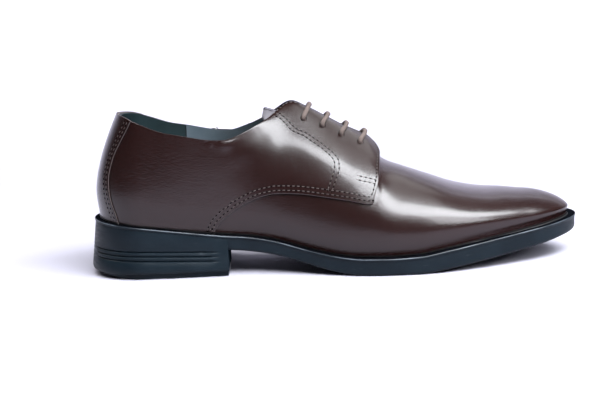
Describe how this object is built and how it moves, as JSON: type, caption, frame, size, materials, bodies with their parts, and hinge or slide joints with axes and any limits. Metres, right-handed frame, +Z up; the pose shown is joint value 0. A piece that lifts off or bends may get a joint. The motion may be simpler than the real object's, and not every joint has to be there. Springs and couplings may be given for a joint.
{
  "type": "derby shoe",
  "caption": "Plain dark brown leather derby shoe for the right foot, with open lacing, round laces, a low grooved heel and a moulded sole.",
  "frame": {"origin": "on the floor, under the middle of the round heel", "axes": "+X from heel to toe, +Y to the inner side of the foot, +Z up"},
  "size_m": [0.3014, 0.1042, 0.0993],
  "materials": {
    "upper_leather": "polished smooth calf leather, dark brown",
    "sole_rubber": "satin moulded rubber, blue black",
    "lining": "matt lining leather, dark teal",
    "lace_cord": "round waxed cotton, warm taupe"
  },
  "bodies": {
    "root": {"sole_unit": "sole_rubber", "heel_top_piece": "sole_rubber", "upper": "upper_leather", "insole": "lining", "tongue": "lining", "lace": "lace_cord"}
  },
  "joints": []
}
